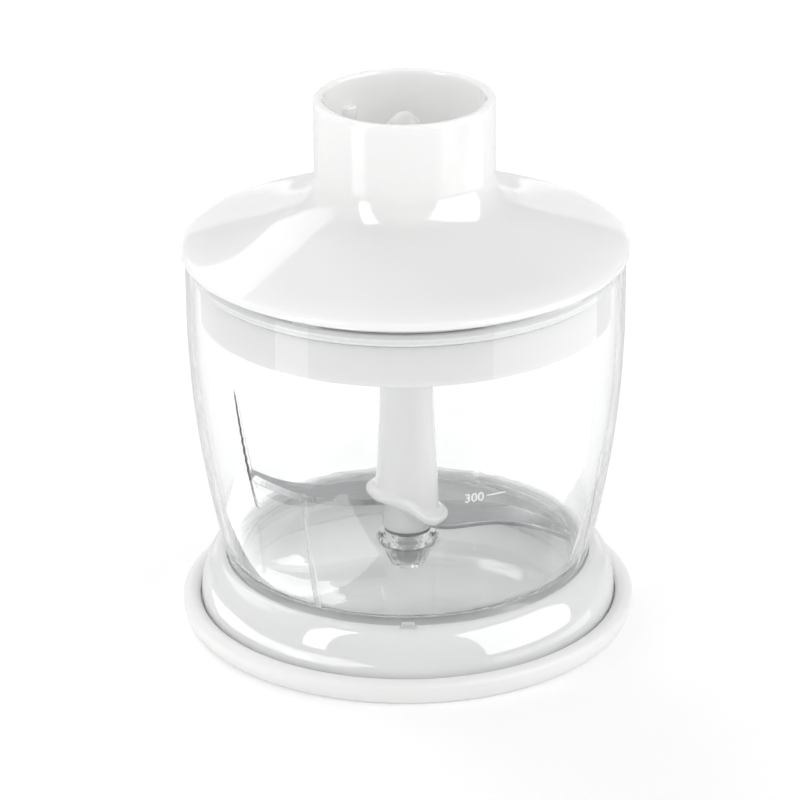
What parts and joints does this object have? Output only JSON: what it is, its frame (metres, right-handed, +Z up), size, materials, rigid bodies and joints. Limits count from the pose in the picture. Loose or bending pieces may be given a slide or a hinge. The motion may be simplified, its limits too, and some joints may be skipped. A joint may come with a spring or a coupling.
{
  "type": "mini chopper",
  "caption": "Mini chopper for a hand blender: soft-footed base, clear ribbed bowl, two-wing blade unit and a domed geared lid with a socket neck for the motor.",
  "frame": {"origin": "centre of the face that the foot ring stands on", "axes": "+Z up along the blade axis; -Y is the front, where one bowl key shows; the upper wing points along -X"},
  "size_m": [0.124, 0.124, 0.148],
  "materials": {
    "white_plastic": "polished white moulded plastic",
    "base_plastic": "polished translucent white moulded plastic",
    "soft_ring": "satin white elastomer",
    "clear_plastic": "clear polished moulded plastic",
    "blade_steel": "fine brushed stainless steel with ground edges",
    "pin_steel": "ground steel",
    "gear_plastic": "natural acetal",
    "bearing_plastic": "grey filled nylon",
    "bearing_brass": "sintered brass",
    "seal_rubber": "translucent white silicone"
  },
  "bodies": {
    "base": {"foot_ring": "soft_ring", "base_body": "base_plastic"},
    "bowl": {"bowl": "clear_plastic", "bowl_pin": "pin_steel"},
    "washer": {"thrust_washer": "bearing_plastic"},
    "blade": {"blade_shaft": "white_plastic", "hub_bushing": "bearing_brass", "blade_upper": "blade_steel", "blade_lower": "blade_steel"},
    "lid": {"lid_cover": "white_plastic", "lid_underplate": "white_plastic", "lid_seal": "seal_rubber", "lid_screw_1": "pin_steel", "lid_screw_2": "pin_steel", "lid_screw_3": "pin_steel", "lid_screw_4": "pin_steel", "ring_gear": "gear_plastic", "carrier_washer": "bearing_plastic", "input_bushing": "bearing_brass", "output_bushing": "bearing_plastic"},
    "carrier": {"planet_carrier": "gear_plastic", "planet_pin_1": "pin_steel", "planet_pin_2": "pin_steel", "planet_pin_3": "pin_steel"},
    "sun": {"sun_gear": "pin_steel", "sun_clip": "pin_steel", "drive_coupling": "white_plastic"},
    "planet_1": {"planet_gear_1": "gear_plastic"},
    "planet_2": {"planet_gear_2": "gear_plastic"},
    "planet_3": {"planet_gear_3": "gear_plastic"}
  },
  "joints": [
    {"name": "bowl_lift", "type": "slide", "parent": "base", "child": "bowl", "axis": [0, 0, 1], "range_m": [0, 0.08]},
    {"name": "lid_lift", "type": "slide", "parent": "bowl", "child": "lid", "axis": [0, 0, 1], "range_m": [0, 0.18]},
    {"name": "blade_spin", "type": "hinge", "parent": "bowl", "child": "washer", "pos_m": [0, 0, 0.0235], "axis": [0, 0, 1], "continuous": true},
    {"name": "blade_lift", "type": "slide", "parent": "washer", "child": "blade", "axis": [0, 0, 1], "range_m": [0, 0.09]},
    {"name": "carrier_spin", "type": "hinge", "parent": "lid", "child": "carrier", "pos_m": [0, 0, 0.1035], "axis": [0, 0, 1], "continuous": true},
    {"name": "sun_spin", "type": "hinge", "parent": "lid", "child": "sun", "pos_m": [0, 0, 0.109], "axis": [0, 0, 1], "continuous": true},
    {"name": "planet_1_spin", "type": "hinge", "parent": "carrier", "child": "planet_1", "pos_m": [0, 0.012, 0.109], "axis": [0, 0, 1], "continuous": true},
    {"name": "planet_2_spin", "type": "hinge", "parent": "carrier", "child": "planet_2", "pos_m": [-0.01039, -0.006, 0.109], "axis": [0, 0, 1], "continuous": true},
    {"name": "planet_3_spin", "type": "hinge", "parent": "carrier", "child": "planet_3", "pos_m": [0.01039, -0.006, 0.109], "axis": [0, 0, 1], "continuous": true}
  ],
  "couplings": [
    {"joint": "blade_lift", "follows": "lid_lift", "ratio": 0.5},
    {"joint": "carrier_spin", "follows": "blade_spin", "ratio": 1},
    {"joint": "sun_spin", "follows": "blade_spin", "ratio": 4},
    {"joint": "planet_1_spin", "follows": "blade_spin", "ratio": -3},
    {"joint": "planet_2_spin", "follows": "blade_spin", "ratio": -3},
    {"joint": "planet_3_spin", "follows": "blade_spin", "ratio": -3}
  ]
}
